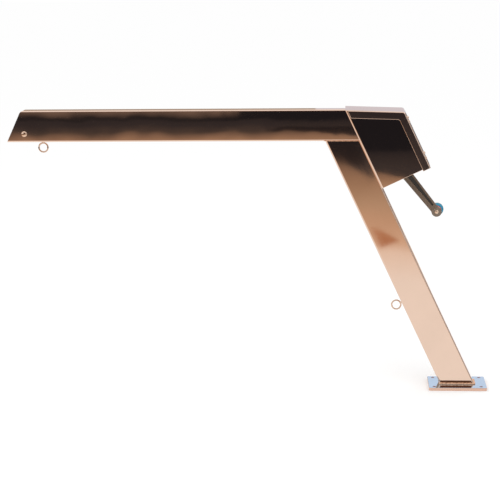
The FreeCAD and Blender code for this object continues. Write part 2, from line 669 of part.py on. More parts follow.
def screw_spots():
    return [(side, height) for side in (-1, 1) for height in ("screw_inset", SCREW_TOP)]


def across_out(label, side, height, profile):
    """A turned part on an axis square off the post: corners as radius and distance out."""
    place = (f"{CASE} * placement(vector(0; {side} * {SCREW_SIDE}; {height}); rotationz(-90 deg))")
    return turned(label, place, profile)


screws = []
nuts = []
bores = []
for number, (side, height) in enumerate(screw_spots(), start=1):
    screws.append(across_out(f"cover_screw_{number}", side, height, [
        ("0", f"{INNER_DEPTH} - sheet_wall - 6"), ("screw_radius", f"{INNER_DEPTH} - sheet_wall - 6"),
        ("screw_radius", "case_depth"), ("screw_head", "case_depth"),
        ("screw_head * 0.9", "case_depth + screw_head_height * 0.6"),
        ("screw_head * 0.5", "case_depth + screw_head_height"), ("0", "case_depth + screw_head_height")]))
    nuts.append(across_out(f"cover_nut_{number}", side, height, ring_profile(
        "screw_radius + running_gap", "screw_radius + 1.8", f"{INNER_DEPTH} - sheet_wall - 5",
        f"{INNER_DEPTH} - sheet_wall")))
    bores.append(across_out(f"screw_bore_{number}", side, height, ring_profile(
        "0", "screw_radius + 0.25", "case_depth - 10", "case_depth + 10")))
screw_bores = doc.addObject("Part::Compound", "screw_bores")
screw_bores.Links = bores
cover_shell = cut_by("cover_shell", cover, hollow)
cover_lipped = cut_by("cover_lipped", cover_shell, lips)
node("case_cover", cut_by("case_cover", cover_lipped, screw_bores))
group("cover_screws", screws)
group("cover_nuts", nuts)

# Layout of the winch along Y, from the near cheek to the crank: the drum, which stays central,
# takes the width that the gear, the brake and the clearances leave inside the case
COLLAR_IN = f"({CASE_SIDE} - sheet_wall - 2)"
BESIDE_DRUM = ("(drum_flange + gear_width + drum_side_gap + frame_plate + bush_flange + 2 * brake_flange"
               " + 2 * disc_wall + 2 * disc_gap + ratchet_width + hub_clear)")
DRUM_HALF = f"({COLLAR_IN} - {BESIDE_DRUM})"
NEAR_IN = f"(-{DRUM_HALF} - drum_flange - drum_side_gap)"
NEAR_OUT = f"({NEAR_IN} - frame_plate)"
GEAR_IN = f"({DRUM_HALF} + drum_flange)"
GEAR_OUT = f"({GEAR_IN} + gear_width)"
FAR_IN = f"({GEAR_OUT} + drum_side_gap)"
FAR_OUT = f"({FAR_IN} + frame_plate)"
BRAKE_IN = f"({FAR_OUT} + bush_flange)"
DISC_ONE = f"({BRAKE_IN} + brake_flange)"
RATCHET_IN = f"({DISC_ONE} + disc_wall + disc_gap)"
RATCHET_OUT = f"({RATCHET_IN} + ratchet_width)"
DISC_TWO = f"({RATCHET_OUT} + disc_gap)"
HUB_IN = f"({DISC_TWO} + disc_wall)"
HUB_FLANGE = f"({HUB_IN} + brake_flange)"
CRANK_START = "(case_width / 2 + crank_clear)"
CRANK_OUT = f"({CRANK_START} + crank_thickness)"
DRUM_UP = "(input_height + tooth_module * (pinion_teeth + gear_teeth) / 2)"
INPUT = winch_place("shaft_from_post", "input_height")
DRUM = winch_place("shaft_from_post", DRUM_UP)
PAWL_OUT = "(shaft_from_post + ratchet_radius)"
PAWL_UP = "(input_height - ratchet_radius - pawl_drop)"
PAWL = winch_place(PAWL_OUT, PAWL_UP)
ROLLER_UP = f"({DRUM_UP} + roller_above_drum)"
ROLLER = winch_place("roller_from_post", ROLLER_UP)
TIE_SPOTS = [("shaft_from_post + 50", "input_height + 22"), ("shaft_from_post - 32", "input_height - 30")]

# Winch frame: a plate channel whose back is bolted to the post through the case
frame = new_body("winch_frame_body", CASE)
CHEEK_OUT = "(shaft_from_post + cheek_reach)"
outline = new_sketch(frame, "XZ_Plane", f"-{NEAR_OUT}")
draw_polygon(outline, [
    ("sheet_wall", "frame_low"), (f"{PAWL_OUT} + pawl_rim", "frame_low"),
    (CHEEK_OUT, f"{TIE_SPOTS[0][1]} - cheek_end / 2 + 1"),
    (CHEEK_OUT, f"{TIE_SPOTS[0][1]} + cheek_end / 2 + 1"),
    ("shaft_from_post + axle_rim + 2", f"{DRUM_UP} + axle_rim"),
    ("roller_from_post + roller_pin + 6", f"{ROLLER_UP} + roller_rim"),
    ("sheet_wall", f"{ROLLER_UP} + roller_rim")])
add_pad(frame, outline, f"{FAR_OUT} - {NEAR_OUT}")
round_edges(frame, "frame_corner", lambda edge: along(edge, AXIS_Y)
            and middle(edge).x > value("roller_from_post"))
cut_slab(frame, NEAR_IN, FAR_IN, [
    ("sheet_wall + frame_plate", "-10"), ("case_depth", "-10"), ("case_depth", f"{ROLLER_UP} + 40"),
    ("sheet_wall + frame_plate", f"{ROLLER_UP} + 40")])
cut_slab(frame, NEAR_IN, FAR_IN, [
    ("-10", f"{DRUM_UP} + back_above_drum"), ("20", f"{DRUM_UP} + back_above_drum"),
    ("20", f"{ROLLER_UP} + 40"), ("-10", f"{ROLLER_UP} + 40")])
WHOLE = (f"{NEAR_OUT} - 5", f"{FAR_OUT} + 5")
cut_hole(frame, *WHOLE, "shaft_from_post", "input_height", "shaft_radius + running_gap + bush_wall")
cut_hole(frame, *WHOLE, "shaft_from_post", DRUM_UP, "shaft_radius + running_gap")
cut_hole(frame, *WHOLE, "roller_from_post", ROLLER_UP, "roller_pin + running_gap")
for out, up in TIE_SPOTS:
    cut_hole(frame, *WHOLE, out, up, "tie_radius + running_gap")
cut_hole(frame, FAR_IN, f"{FAR_OUT} + 5", PAWL_OUT, PAWL_UP, "pawl_pin + running_gap")

# Bolts that hold the winch frame and the case to the post
BOLT_SPOTS = [(side, up) for side in ("-bolt_near", "bolt_far") for up in ("bolt_low", "bolt_high")]
SEAT = "(sheet_wall + frame_plate)"
bolts = []
bores = []
for number, (side, up) in enumerate(BOLT_SPOTS, start=1):
    place = f"{CASE} * placement(vector(0; {side}; {up}); rotationz(-90 deg))"
    bolts.append(turned(f"frame_bolt_{number}", place, [
        ("0", "-tube_wall - 6"), ("frame_bolt", "-tube_wall - 6"), ("frame_bolt", SEAT),
        ("frame_bolt + 2.5", SEAT), ("frame_bolt + 2.5", f"{SEAT} + bolt_head_height"),
        ("0", f"{SEAT} + bolt_head_height + 0.5")]))
    bores.append(turned(f"bolt_bore_{number}", place, ring_profile(
        "0", "frame_bolt + 0.2", "-tube_wall * 2", f"{SEAT} + 2")))
bolt_bores = doc.addObject("Part::Compound", "bolt_bores")
bolt_bores.Links = bores
node("post_tube", cut_by("post_tube", post, bolt_bores))
case_drilled = cut_by("case_off_bolts", case, bolt_bores)
node("winch_case", cut_by("winch_case", case_drilled, screw_bores))
node("winch_frame", cut_by("winch_frame", frame, bolt_bores))
group("frame_bolts", bolts)

# Flanged bushes of the input shaft, with their flanges on the inner side of each cheek
BUSH_IN = "shaft_radius + running_gap"
BUSH_OUT = "(shaft_radius + running_gap + bush_wall)"
near_bush = turned("shaft_bush_1", INPUT, [
    (BUSH_IN, NEAR_OUT), (BUSH_OUT, NEAR_OUT), (BUSH_OUT, NEAR_IN), (f"{BUSH_OUT} + 3", NEAR_IN),
    (f"{BUSH_OUT} + 3", f"{NEAR_IN} + bush_flange"), (BUSH_IN, f"{NEAR_IN} + bush_flange")])
far_bush = turned("shaft_bush_2", INPUT, [
    (BUSH_IN, f"{FAR_IN} - bush_flange + 0.5"), (f"{BUSH_OUT} + 3", f"{FAR_IN} - bush_flange + 0.5"),
    (f"{BUSH_OUT} + 3", FAR_IN), (BUSH_OUT, FAR_IN), (BUSH_OUT, FAR_OUT), (BUSH_IN, FAR_OUT)])
group("shaft_bushes", [near_bush, far_bush])

# Drum axle, a bolt through both cheeks, with its nut and thrust washers
axle = turned("drum_axle_body", DRUM, [
    ("0", f"{NEAR_OUT} - 8"), ("shaft_radius + 4", f"{NEAR_OUT} - 8"), ("shaft_radius + 4", NEAR_OUT),
    ("shaft_radius", NEAR_OUT), ("shaft_radius", f"{FAR_OUT} + 12"), ("0", f"{FAR_OUT} + 12")])
node("drum_axle", axle)
axle_nut = slab("drum_nut_body", DRUM, FAR_OUT, f"{FAR_OUT} + 9", hexagon("shaft_radius + 6"))
cut_hole(axle_nut, f"{FAR_OUT} - 5", f"{FAR_OUT} + 15", "0", "0", "shaft_radius + running_gap")
node("drum_nut", axle_nut)
group("drum_washers", [turned(f"drum_washer_{number}", DRUM, ring_profile(
    "shaft_radius + running_gap", "shaft_radius + 7", low, high)) for number, (low, high) in enumerate([
        (NEAR_IN, f"{NEAR_IN} + drum_side_gap - 0.25"),
        (f"{FAR_IN} - drum_side_gap + 0.25", FAR_IN)], start=1)])

# Drum: barrel and flanges in one, bushed on its axle
CORE = "(shaft_radius + running_gap + bush_wall)"
HUB = f"({CORE} + 4)"
drum = turned("drum_body", DRUM, [
    (CORE, f"-{GEAR_IN}"), ("drum_flange_radius", f"-{GEAR_IN}"), ("drum_flange_radius", f"-{DRUM_HALF}"),
    ("drum_radius", f"-{DRUM_HALF}"), ("drum_radius", DRUM_HALF),
    ("drum_flange_radius", DRUM_HALF), ("drum_flange_radius", GEAR_IN), (HUB, GEAR_IN),
    (HUB, GEAR_OUT), (CORE, GEAR_OUT)])
for spot in range(6):
    turn = math.radians(60 * spot)
    cut_hole(drum, "0", f"2 * {DRUM_HALF}", f"rivet_circle * {math.cos(turn):.9f}",
             f"rivet_circle * {math.sin(turn):.9f}", "rivet_radius")
node("drum", drum)
group("drum_bushes", [turned(f"drum_bush_{number}", DRUM, ring_profile(
    "shaft_radius + running_gap", CORE, low, high)) for number, (low, high) in enumerate([
        (f"-{GEAR_IN}", f"-{GEAR_IN} + 20"), (f"{GEAR_OUT} - 20", GEAR_OUT)], start=1)])
group("gear_rivets", [turned(
    f"gear_rivet_{spot + 1}",
    f"{DRUM} * placement(vector(rivet_circle * {math.cos(math.radians(60 * spot)):.9f}; 0; "
    f"rivet_circle * {math.sin(math.radians(60 * spot)):.9f}); rotationx(0 deg))",
    ring_profile("0", "rivet_radius", DRUM_HALF, GEAR_OUT)) for spot in range(6)])

# Gear pair: involute flanks, made from the module, the tooth counts and the backlash
PRESSURE = math.radians(20)
ADDENDUM = 0.8
DEDENDUM = 1.15


def involute(angle):
    return math.tan(angle) - angle


def gear_face(teeth, bore, offset):
    """A toothed disc in the XZ plane, the middle of one gap turned by offset from straight up."""
    module = value("tooth_module")
    pitch = module * teeth / 2
    base = pitch * math.cos(PRESSURE)
    tip = pitch + ADDENDUM * module
    root = pitch - DEDENDUM * module
    gap = (math.pi * module + value("backlash")) / 4 / pitch - involute(PRESSURE)

    def spot(radius, turn):
        return FreeCAD.Vector(radius * math.sin(turn), 0, radius * math.cos(turn))

    def half_gap(radius):
        if radius <= base:
            return gap
        return gap + involute(math.acos(base / radius))

    start = max(root, base)
    radii = [start + (tip - start) * step / 3 for step in range(4)]
    edges = []
    for tooth in range(teeth):
        centre = offset + 2 * math.pi * tooth / teeth
        after = centre + 2 * math.pi / teeth
        rise = [spot(radius, centre + half_gap(radius)) for radius in radii]
        fall = [spot(radius, after - half_gap(radius)) for radius in reversed(radii)]
        foot_before = spot(root, centre + half_gap(start))
        foot_after = spot(root, after - half_gap(start))
        foot_first = spot(root, centre - half_gap(start))
        edges.append(Part.Arc(foot_first, spot(root, centre), foot_before).toShape())
        if root < base:
            edges.append(Part.LineSegment(foot_before, rise[0]).toShape())
        for points in (rise, fall):
            curve = Part.BSplineCurve()
            curve.interpolate(points)
            edges.append(curve.toShape())
            if points is rise:
                edges.append(Part.Arc(rise[-1], spot(tip, (centre + after) / 2), fall[0]).toShape())
        if root < base:
            edges.append(Part.LineSegment(fall[-1], foot_after).toShape())
    outline = Part.Wire(Part.__sortEdges__(edges))
    hole = Part.Wire(Part.makeCircle(bore, FreeCAD.Vector(0, 0, 0), AXIS_Y))
    return Part.Face([outline, hole], "Part::FaceMakerBullseye") if bore else Part.Face(outline)


def gear_solid(teeth, bore, low, high, offset=0):
    face = gear_face(teeth, bore, offset)
    face.translate(FreeCAD.Vector(0, value(low), 0))
    return face.extrude(FreeCAD.Vector(0, value(high) - value(low), 0))


gear = doc.addObject("Part::Feature", "drum_gear")
wheel = gear_solid(int(value("gear_teeth")), value(HUB), GEAR_IN, GEAR_OUT,
                   math.pi - math.pi / value("gear_teeth"))
for spot in range(6):
    turn = math.radians(60 * spot)
    wheel = wheel.cut(Part.makeCylinder(
        value("rivet_radius"), value("gear_width") * 3,
        FreeCAD.Vector(value("rivet_circle") * math.cos(turn), value(GEAR_IN) - value("gear_width"),
                       value("rivet_circle") * math.sin(turn)), AXIS_Y))
gear.Shape = wheel
bind(gear, Placement=DRUM)
node("drum_gear", gear)

shaft_turned = turned("input_shaft_turned", INPUT, [
    ("0", f"{NEAR_OUT} - 2"), ("shaft_radius", f"{NEAR_OUT} - 2"), ("shaft_radius", f"{CRANK_OUT} + 9"),
    ("0", f"{CRANK_OUT} + 9")])
pinion = doc.addObject("Part::Feature", "pinion")
pinion.Shape = gear_solid(int(value("pinion_teeth")), 0, f"{GEAR_IN} - 1", f"{GEAR_OUT} + 0.2")
bind(pinion, Placement=INPUT)
input_shaft = doc.addObject("Part::Fuse", "input_shaft")
input_shaft.Base = shaft_turned
input_shaft.Tool = pinion
node("input_shaft", input_shaft)

# Screw-down brake on the input shaft: flange, disc, ratchet wheel, disc and the crank's hub
SHAFT_BORE = "shaft_radius + 0.01"
node("brake_flange", turned("brake_flange_body", INPUT, ring_profile(
    SHAFT_BORE, "disc_radius + 1", BRAKE_IN, DISC_ONE)))
group("brake_discs", [turned(f"brake_disc_{number}", INPUT, ring_profile(
    SHAFT_BORE, "disc_radius", low, f"{low} + disc_wall")) for number, low in enumerate([
        DISC_ONE, DISC_TWO], start=1)])
ratchet = turned("ratchet_wheel_body", INPUT, ring_profile(
    "shaft_radius + running_gap * 2", "ratchet_radius", RATCHET_IN, RATCHET_OUT))
PITCH = "(360 / ratchet_teeth)"
FACE = "10"


def polar(radius, degrees):
    """A point about a shaft: across and up."""
    return (f"(({radius}) * cos(({degrees}) * 1 deg))", f"(({radius}) * sin(({degrees}) * 1 deg))")


gap_sketch = new_sketch(ratchet, "XZ_Plane", f"-({RATCHET_IN} - 1)")
draw_polygon(gap_sketch, [polar("ratchet_radius - ratchet_depth", FACE),
                          polar("ratchet_radius", f"{FACE} - {PITCH}"),
                          polar("ratchet_radius + 3", f"{FACE} - {PITCH} * 0.7"),
                          polar("ratchet_radius + 3", FACE)])
tooth_gap = add_pocket(ratchet, gap_sketch, "ratchet_width + 2")
teeth = ratchet.newObject("PartDesign::PolarPattern", "ratchet_pattern")
teeth.Originals = [tooth_gap]
teeth.Axis = (gap_sketch, ["N_Axis"])
teeth.Angle = 360
bind(teeth, Occurrences="ratchet_teeth")
ratchet.Tip = teeth
node("ratchet_wheel", ratchet)

# Pawl on its pin in the far cheek, its nose in a gap of the ratchet wheel
NOSE = f"{FACE} - 0.3 * 180 / (3.14159 * ratchet_radius)"
PIVOT = ("ratchet_radius", "(-ratchet_radius - pawl_drop)")


def pawl_spot(radius, degrees):
    across, up = polar(radius, degrees)
    return (f"{across} - {PIVOT[0]}", f"{up} - {PIVOT[1]}")


pawl = slab("pawl_body", PAWL, RATCHET_IN, RATCHET_OUT, [
    pawl_spot("ratchet_radius - ratchet_depth + 0.7", f"{NOSE} - 0.8"),
    pawl_spot("ratchet_radius + 1.5", NOSE),
    ("pawl_pin + 1.5", "pawl_drop"), ("-pawl_pin - 1", "pawl_drop"),
    pawl_spot("ratchet_radius + 1.2", f"{FACE} - {PITCH} + 0.6")])
eye = new_sketch(pawl, "XZ_Plane", f"-{RATCHET_IN}")
draw_circle(eye, "0", "0", "pawl_pin + pawl_eye")
add_pad(pawl, eye, "ratchet_width")
cut_hole(pawl, f"{RATCHET_IN} - 5", f"{RATCHET_OUT} + 5", "0", "0", "pawl_pin + running_gap")
node("pawl", pawl)
node("pawl_pin", turned("pawl_pin_body", PAWL, [
    ("0", FAR_IN), ("pawl_pin", FAR_IN), ("pawl_pin", FAR_OUT), ("pawl_pin + 3", FAR_OUT),
    ("pawl_pin + 3", f"{RATCHET_IN} - 0.25"), ("pawl_pin", f"{RATCHET_IN} - 0.25"),
    ("pawl_pin", f"{RATCHET_OUT} + 4"), ("pawl_pin + 2.5", f"{RATCHET_OUT} + 4"),
    ("pawl_pin + 2.5", f"{RATCHET_OUT} + 5.5"), ("0", f"{RATCHET_OUT} + 5.5")]))
spring = doc.addObject("Part::Feature", "pawl_spring")
SPRING_RADIUS = value("pawl_pin + spring_gap + spring_wire")
SPRING_TURNS = 2
SPRING_PITCH = value("spring_wire * 2 + 0.1")
helix = Part.makeHelix(SPRING_PITCH, SPRING_PITCH * SPRING_TURNS, SPRING_RADIUS)
start_circle = Part.Wire(Part.makeCircle(
    value("spring_wire"), FreeCAD.Vector(SPRING_RADIUS, 0, 0), AXIS_Y))
coil = Part.Wire(helix).makePipeShell([start_circle], True, True)
spring.Shape = coil
bind(spring, Placement=f"{PAWL} * placement(vector(0; {RATCHET_OUT} + spring_wire + 0.15; 0); "
                       "rotationx(-90 deg))")
node("pawl_spring", spring)

# Line roller below the window, and the two spacer bolts that hold the cheeks apart
node("line_roller", turned("line_roller_body", ROLLER, [
    ("roller_pin + running_gap", f"{NEAR_IN} + 0.4"), ("roller_radius + 2.5", f"{NEAR_IN} + 0.4"),
    ("roller_radius", f"{NEAR_IN} + 6"), ("roller_radius", f"{FAR_IN} - 6"),
    ("roller_radius + 2.5", f"{FAR_IN} - 0.4"), ("roller_pin + running_gap", f"{FAR_IN} - 0.4")]))
node("roller_pin", turned("roller_pin_body", ROLLER, [
    ("0", f"{NEAR_OUT} - 3"), ("roller_pin + 2.5", f"{NEAR_OUT} - 3"), ("roller_pin + 2.5", NEAR_OUT),
    ("roller_pin", NEAR_OUT), ("roller_pin", f"{FAR_OUT} + 3"), ("0", f"{FAR_OUT} + 3")]))
ties = []
sleeves = []
for number, (out, up) in enumerate(TIE_SPOTS, start=1):
    place = winch_place(out, up)
    ties.append(turned(f"tie_bolt_{number}", place, [
        ("0", f"{NEAR_OUT} - 4"), ("tie_radius + 2.5", f"{NEAR_OUT} - 4"), ("tie_radius + 2.5", NEAR_OUT),
        ("tie_radius", NEAR_OUT), ("tie_radius", FAR_OUT), ("tie_radius + 2.5", FAR_OUT),
        ("tie_radius + 2.5", f"{FAR_OUT} + 4"), ("0", f"{FAR_OUT} + 4")]))
    sleeves.append(turned(f"tie_sleeve_{number}", place, ring_profile(
        "tie_radius + running_gap", "tie_sleeve", NEAR_IN, FAR_IN)))
group("tie_bolts", ties)
group("tie_sleeves", sleeves)

# Collar that lines the hub's hole in the far side panel
COLLAR = "hub_radius + 0.4"
node("hub_collar", turned("hub_collar_body", INPUT, [
    (COLLAR, COLLAR_IN), ("hub_radius + 2.95", COLLAR_IN),
    ("hub_radius + 2.95", CASE_SIDE), ("hub_radius + 7", CASE_SIDE), ("hub_radius + 6", f"{CASE_SIDE} + 2"),
    (COLLAR, f"{CASE_SIDE} + 2")]))

# Crank: hub screwed on the shaft, forged arm with a recess down each face, nut, pin and grip
node("crank_hub", turned("crank_hub_body", INPUT, [
    (SHAFT_BORE, HUB_IN), ("disc_radius + 1", HUB_IN), ("disc_radius + 1", HUB_FLANGE),
    ("hub_radius", HUB_FLANGE), ("hub_radius", f"{CRANK_START} - 0.5"),
    (SHAFT_BORE, f"{CRANK_START} - 0.5")]))
CRANK = winch_place("shaft_from_post", "input_height", "crank_angle + lean_angle")
CRANK_MIDDLE = f"({CRANK_START} + crank_thickness / 2)"
bar = new_body("crank_bar", CRANK)
boss = new_sketch(bar, "XZ_Plane", f"-{CRANK_START} + 0.5")
draw_circle(boss, "0", "0", "crank_boss")
add_pad(bar, boss, "crank_thickness + 1")
blade = new_sketch(bar, "XZ_Plane", f"-{CRANK_START}")
draw_polygon(blade, [("crank_boss * 0.4", "-crank_root_width / 2"),
                     ("crank_length - crank_eye * 0.7", "-crank_end_width / 2"),
                     ("crank_length - crank_eye * 0.7", "crank_end_width / 2"),
                     ("crank_boss * 0.4", "crank_root_width / 2")])
add_pad(bar, blade, "crank_thickness")
for low, high in ((f"{CRANK_START} - 1", f"{CRANK_START} + crank_recess"),
                  (f"{CRANK_OUT} - crank_recess", f"{CRANK_OUT} + 1")):
    recess = new_sketch(bar, "XZ_Plane", f"-({low})")
    draw_polygon(recess, [("crank_boss + 6", "-crank_root_width / 2 + crank_rim_wide"),
                          ("crank_length - crank_eye - 8", "-crank_end_width / 2 + crank_rim_wide"),
                          ("crank_length - crank_eye - 8", "crank_end_width / 2 - crank_rim_narrow"),
                          ("crank_boss + 6", "crank_root_width / 2 - crank_rim_narrow")])
    add_pocket(bar, recess, f"({high}) - ({low})")
    round_edges(bar, "2.5", lambda edge: along(edge, AXIS_Y) and edge.Length < value("crank_recess") + 0.01
                and value("crank_boss") + 5 < middle(edge).x < value("crank_length - crank_eye") - 7)
GRIP_PIN = (f"{CRANK} * placement(vector(crank_length; {CRANK_MIDDLE}; 0); rotationz(-grip_splay * 1 deg))")
HALF = "(crank_thickness / 2 + 0.5)"
eye_boss = turned("crank_eye_body", GRIP_PIN, ring_profile("0", "crank_eye", f"-{HALF}", HALF))
crank_blank = doc.addObject("Part::Fuse", "crank_blank")
crank_blank.Base = bar
crank_blank.Tool = eye_boss
pin_bore = turned("pin_bore", GRIP_PIN, ring_profile("0", "grip_pin + 0.01", "-20", "20"))
shaft_bore = turned("shaft_bore", INPUT, ring_profile("0", SHAFT_BORE, "0", "case_width"))
node("crank_arm", cut_by("crank_arm", cut_by("crank_bored", crank_blank, pin_bore), shaft_bore))
node("crank_washer", turned("crank_washer_body", INPUT, ring_profile(
    SHAFT_BORE, "shaft_radius + 5", f"{CRANK_OUT} + 0.5", f"{CRANK_OUT} + 2.5")))
crank_nut = slab("crank_nut_body", INPUT, f"{CRANK_OUT} + 2.5", f"{CRANK_OUT} + 11",
                 hexagon("shaft_radius + 5"))
cut_hole(crank_nut, f"{CRANK_OUT} - 1", f"{CRANK_OUT} + 9", "0", "0", SHAFT_BORE)
node("crank_nut", crank_nut)
GRIP_LOW = f"({HALF} + grip_gap)"
KNOB_LOW = f"({GRIP_LOW} + grip_sleeve)"
GRIP_HIGH = f"({GRIP_LOW} + grip_length)"
CAP_SEAT = f"({GRIP_HIGH} - 6)"
PIN_FLANGE = f"({GRIP_HIGH} - 8)"
node("grip_pin", turned("grip_pin_body", GRIP_PIN, [
    ("0", f"-{HALF} - 3"), ("grip_pin * 0.7", f"-{HALF} - 2.6"), ("grip_pin + 1.2", f"-{HALF} - 1"),
    ("grip_pin + 1.2", f"-{HALF}"), ("grip_pin", f"-{HALF}"), ("grip_pin", PIN_FLANGE),
    ("grip_pin + 4", PIN_FLANGE), ("grip_pin + 4", f"{PIN_FLANGE} + 4"), ("0", f"{PIN_FLANGE} + 4")]))
node("grip_collar", turned("grip_collar_body", GRIP_PIN, [
    ("grip_pin + running_gap", GRIP_LOW), ("grip_sleeve_radius - 1", GRIP_LOW),
    ("grip_sleeve_radius", f"{GRIP_LOW} + 1"), ("grip_sleeve_radius", KNOB_LOW),
    ("grip_pin + running_gap", KNOB_LOW)]))
grip = turned("grip_body", GRIP_PIN, [
    ("grip_pin + running_gap", KNOB_LOW), ("grip_sleeve_radius", KNOB_LOW),
    ("grip_radius", f"{KNOB_LOW} + 3"), ("grip_end - 1", f"{GRIP_HIGH} - 16"),
    ("grip_end - 0.5", CAP_SEAT), ("grip_pin + 6", CAP_SEAT),
    ("grip_pin + 6", f"{PIN_FLANGE} - 0.4"), ("grip_pin + running_gap", f"{PIN_FLANGE} - 0.4")])
node("grip", grip)
node("grip_cap", turned("grip_cap_body", GRIP_PIN, [
    ("grip_pin + 4.5", CAP_SEAT), ("grip_end", CAP_SEAT), ("grip_end", f"{GRIP_HIGH} - 2"),
    ("grip_end - 4", GRIP_HIGH), ("0", GRIP_HIGH), ("0", f"{GRIP_HIGH} - 3.5"),
    ("grip_pin + 4.5", f"{GRIP_HIGH} - 3.5")]))

# Every object has to be sound before anything is written
doc.recompute()
faults = []
for item in doc.Objects:
    if "Invalid" in item.State or "Error" in item.State:
        faults.append(f"{item.Name}: {item.State}")
for label, item in NODES.items():
    if item.Shape.isNull() or not item.Shape.isValid():
        faults.append(f"{label}: unsound shape")
if faults:
    raise SystemExit("\n".join(faults))
os.makedirs("parts", exist_ok=True)
for label, item in NODES.items():
    item.Shape.exportStep(f"parts/{label}.step")
    print(label, len(item.Shape.Solids), round(item.Shape.Volume, 1))
print(len(NODES), "nodes")
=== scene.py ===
import json
import math

import bpy
from mathutils import Matrix, Vector

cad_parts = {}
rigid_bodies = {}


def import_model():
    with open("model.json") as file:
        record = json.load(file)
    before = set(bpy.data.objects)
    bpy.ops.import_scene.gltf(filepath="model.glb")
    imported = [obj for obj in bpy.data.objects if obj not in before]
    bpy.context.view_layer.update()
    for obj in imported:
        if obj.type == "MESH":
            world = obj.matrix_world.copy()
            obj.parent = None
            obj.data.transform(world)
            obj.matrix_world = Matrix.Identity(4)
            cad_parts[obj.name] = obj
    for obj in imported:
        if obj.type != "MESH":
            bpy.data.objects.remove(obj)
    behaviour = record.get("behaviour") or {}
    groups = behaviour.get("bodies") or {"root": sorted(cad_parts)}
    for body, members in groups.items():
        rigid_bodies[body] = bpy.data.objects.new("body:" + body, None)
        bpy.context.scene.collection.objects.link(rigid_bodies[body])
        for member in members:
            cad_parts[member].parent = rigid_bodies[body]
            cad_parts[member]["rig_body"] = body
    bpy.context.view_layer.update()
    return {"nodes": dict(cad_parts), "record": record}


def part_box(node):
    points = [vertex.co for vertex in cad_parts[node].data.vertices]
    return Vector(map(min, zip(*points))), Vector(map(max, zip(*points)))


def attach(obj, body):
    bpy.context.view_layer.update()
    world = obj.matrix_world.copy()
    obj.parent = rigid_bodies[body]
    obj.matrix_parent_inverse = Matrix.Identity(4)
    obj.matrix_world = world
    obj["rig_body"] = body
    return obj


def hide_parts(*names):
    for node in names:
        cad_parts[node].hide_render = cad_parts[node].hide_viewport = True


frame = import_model()
nodes = frame["nodes"]
scene = bpy.context.scene

# Camera
# The photograph is taken from the davit's plain side, a little above the arm and far enough
# back that the arm stays almost level in the picture.
CAMERA_PLACE = Vector((-0.332, -5.0, 1.397))
CAMERA_PAN = math.radians(-3.837)
CAMERA_TILT = math.radians(10.751)
CAMERA_ROLL = math.radians(-0.66)
CAMERA_LENS = 113.97
SENSOR_WIDTH = 36
camera_data = bpy.data.cameras.new("camera")
camera_data.lens = CAMERA_LENS
camera_data.sensor_width = SENSOR_WIDTH
camera = bpy.data.objects.new("camera", camera_data)
scene.collection.objects.link(camera)
camera.matrix_world = (Matrix.Translation(CAMERA_PLACE)
                       @ Matrix.Rotation(-CAMERA_PAN, 4, "Z")
                       @ Matrix.Rotation(math.pi / 2 - CAMERA_TILT, 4, "X")
                       @ Matrix.Rotation(CAMERA_ROLL, 4, "Z"))
scene.camera = camera
scene.view_settings.view_transform = "Standard"

# Studio
# A pale floor under a white sky. The polished tubes mirror what stands round them, so cards that
# only reflections see make up the room: a ground that is pale close by and dark further out,
# darker mats in front of the davit, and walls in front, behind and to the right of it.
FLOOR_COLOUR = (0.99, 0.99, 0.99)
FLOOR_SIZE = 80
FLOOR_DROP = 0.0005
bpy.ops.mesh.primitive_plane_add(size=FLOOR_SIZE, location=(0, 0, -FLOOR_DROP))
floor = bpy.context.object
floor.name = "floor"
floor_paper = bpy.data.materials.new("floor_paper")
floor_paper.use_nodes = True
floor_shader = floor_paper.node_tree.nodes["Principled BSDF"]
floor_shader.inputs["Base Color"].default_value = (*FLOOR_COLOUR, 1)
floor_shader.inputs["Roughness"].default_value = 1.0
floor_shader.inputs["Specular IOR Level"].default_value = 0
floor.data.materials.append(floor_paper)

world = bpy.data.worlds.new("sky")
scene.world = world
world.use_nodes = True
world.node_tree.nodes["Background"].inputs["Color"].default_value = (1, 1, 1, 1)
world.node_tree.nodes["Background"].inputs["Strength"].default_value = 1.0

LAMP_SIZE = 3.0
LAMP_POWER = 25
LAMP_PLACE = (-1.2, -1.5, 3.6)
LAMP_TILT = math.radians(22)
lamp_data = bpy.data.lights.new("overhead_lamp", "AREA")
lamp_data.size = LAMP_SIZE
lamp_data.energy = LAMP_POWER
lamp = bpy.data.objects.new("overhead_lamp", lamp_data)
lamp.location = LAMP_PLACE
lamp.rotation_euler = (LAMP_TILT, 0, 0)
lamp.visible_glossy = False
scene.collection.objects.link(lamp)


def only_in_reflections(card):
    card.visible_camera = False
    card.visible_diffuse = False
    card.visible_transmission = False
    card.visible_shadow = False


